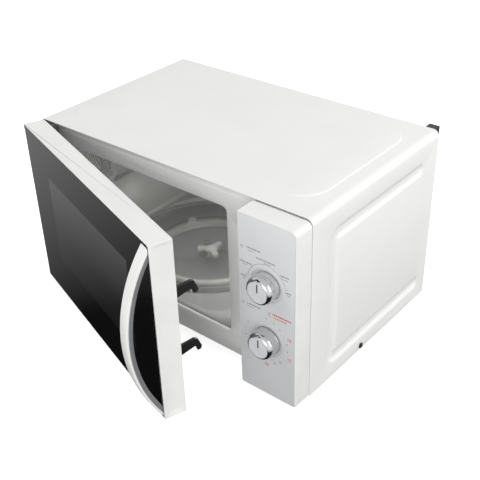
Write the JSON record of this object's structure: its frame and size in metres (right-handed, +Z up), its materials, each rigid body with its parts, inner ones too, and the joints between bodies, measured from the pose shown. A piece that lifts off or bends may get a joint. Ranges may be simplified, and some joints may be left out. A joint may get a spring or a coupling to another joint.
{
  "type": "microwave oven",
  "caption": "White countertop microwave oven with two dials, a side-hinged glass door with a bow handle, and a glass turntable.",
  "frame": {"origin": "middle of the underside of the box round the whole oven with its door ajar as stored, on the surface that it stands on", "axes": "+X to the oven's right seen from the front, +Y to its back, +Z up"},
  "size_m": [0.4474, 0.457, 0.2595],
  "materials": {
    "white_enamel": "satin white powder paint",
    "cavity_paint": "fine-textured light grey oven paint",
    "white_plastic": "semi-gloss moulded white plastic",
    "silver_film": "satin silver printed film",
    "knob_silver": "metallised plastic, satin face and bright side",
    "black_plastic": "black moulded plastic",
    "grey_plastic": "grey moulded plastic",
    "cream_plastic": "natural moulded plastic",
    "dark_glass": "black printed tempered glass",
    "clear_glass": "clear heat-proof glass",
    "galvanised": "galvanised sheet steel",
    "bright_steel": "bright steel",
    "lamination": "varnished laminated steel",
    "copper_winding": "varnished winding wire",
    "mica": "pressed mica sheet",
    "rubber": "moulded rubber",
    "circuit_board": "phenolic circuit board"
  },
  "bodies": {
    "cabinet": {"air_duct": "grey_plastic", "base_plate": "galvanised", "capacitor": "bright_steel", "capacitor_clamp": "galvanised", "cavity_shell": "cavity_paint", "control_fascia": "silver_film", "control_panel": "white_plastic", "cord_gland": "black_plastic", "cover_screw_right": "black_plastic", "fan_motor": "lamination", "fan_shroud": "grey_plastic", "filter_board": "circuit_board", "foot_left_front": "rubber", "foot_left_rear": "rubber", "foot_right_front": "rubber", "foot_right_rear": "rubber", "front_plate": "white_enamel", "hinge_lower": "galvanised", "hinge_upper": "galvanised", "hv_diode": "galvanised", "interlock_bracket": "cream_plastic", "magnetron": "galvanised", "magnetron_thermostat": "black_plastic", "monitor_switch": "black_plastic", "outer_cover": "white_enamel", "oven_lamp": "clear_glass", "primary_switch": "black_plastic", "primary_winding": "copper_winding", "rear_panel": "galvanised", "rear_spacer_left": "black_plastic", "rear_spacer_right": "black_plastic", "secondary_switch": "black_plastic", "secondary_winding": "copper_winding", "timer_motor": "galvanised", "timer_unit": "cream_plastic", "transformer_core": "lamination", "turntable_motor": "galvanised", "waveguide": "galvanised", "waveguide_cover": "mica"},
    "door": {"door_frame": "white_plastic", "door_glass": "dark_glass", "door_screen": "cavity_paint", "door_inner_cover": "grey_plastic", "door_handle": "white_plastic", "latch_spring": "bright_steel"},
    "latch": {"latch_strip": "black_plastic"},
    "turntable": {"turntable_coupler": "white_plastic", "glass_tray": "clear_glass"},
    "roller_carrier": {"roller_ring": "white_plastic"},
    "roller_1": {"roller_wheel_1": "white_plastic"},
    "roller_2": {"roller_wheel_2": "white_plastic"},
    "roller_3": {"roller_wheel_3": "white_plastic"},
    "power_dial": {"power_knob": "knob_silver", "power_shaft": "bright_steel"},
    "timer_dial": {"timer_knob": "knob_silver", "timer_shaft": "bright_steel"},
    "fan": {"fan_blade": "white_plastic"},
    "primary_button": {"primary_plunger": "cream_plastic"},
    "secondary_button": {"secondary_plunger": "cream_plastic"},
    "monitor_button": {"monitor_plunger": "cream_plastic"}
  },
  "joints": [
    {"name": "door_hinge", "type": "hinge", "parent": "cabinet", "child": "door", "pos_m": [-0.20785, -0.06976, 0.0185], "axis": [0, 0, -1], "range_deg": [-18.4, 73.6]},
    {"name": "latch_lift", "type": "slide", "parent": "door", "child": "latch", "axis": [0, 0, 1], "range_m": [0, 0.004], "stiffness_N_per_m": 300, "springref_m": -0.004, "deforming": ["latch_spring"]},
    {"name": "turntable_spin", "type": "hinge", "parent": "cabinet", "child": "turntable", "pos_m": [-0.04985, 0.07774, 0.033], "axis": [0, 0, 1], "continuous": true},
    {"name": "roller_ring_turn", "type": "hinge", "parent": "cabinet", "child": "roller_carrier", "pos_m": [-0.04985, 0.07774, 0.04005], "axis": [0, 0, 1], "continuous": true},
    {"name": "roller_1_roll", "type": "hinge", "parent": "roller_carrier", "child": "roller_1", "pos_m": [-0.04985, -0.01326, 0.04005], "axis": [0, -1, 0], "continuous": true},
    {"name": "roller_2_roll", "type": "hinge", "parent": "roller_carrier", "child": "roller_2", "pos_m": [0.02896, 0.12324, 0.04005], "axis": [0.866, 0.5, 0], "continuous": true},
    {"name": "roller_3_roll", "type": "hinge", "parent": "roller_carrier", "child": "roller_3", "pos_m": [-0.12866, 0.12324, 0.04005], "axis": [-0.866, 0.5, 0], "continuous": true},
    {"name": "power_dial_turn", "type": "hinge", "parent": "cabinet", "child": "power_dial", "pos_m": [0.18115, -0.08676, 0.174], "axis": [0, 1, 0], "range_deg": [-90, 90]},
    {"name": "timer_dial_turn", "type": "hinge", "parent": "cabinet", "child": "timer_dial", "pos_m": [0.18115, -0.08676, 0.0975], "axis": [0, 1, 0], "range_deg": [0, 320]},
    {"name": "fan_spin", "type": "hinge", "parent": "cabinet", "child": "fan", "pos_m": [0.1554, 0.15824, 0.158], "axis": [0, 1, 0], "continuous": true},
    {"name": "primary_press", "type": "slide", "parent": "cabinet", "child": "primary_button", "axis": [0, 1, 0], "range_m": [0, 0.001], "stiffness_N_per_m": 300, "springref_m": -0.002},
    {"name": "secondary_press", "type": "slide", "parent": "cabinet", "child": "secondary_button", "axis": [0, 1, 0], "range_m": [0, 0.001], "stiffness_N_per_m": 300, "springref_m": -0.002},
    {"name": "monitor_press", "type": "slide", "parent": "cabinet", "child": "monitor_button", "axis": [0, 1, 0], "range_m": [0, 0.001], "stiffness_N_per_m": 300, "springref_m": -0.002}
  ],
  "couplings": [
    {"joint": "roller_ring_turn", "follows": "turntable_spin", "ratio": 0.5},
    {"joint": "roller_1_roll", "follows": "turntable_spin", "ratio": -6.7407},
    {"joint": "roller_2_roll", "follows": "turntable_spin", "ratio": -6.7407},
    {"joint": "roller_3_roll", "follows": "turntable_spin", "ratio": -6.7407}
  ]
}
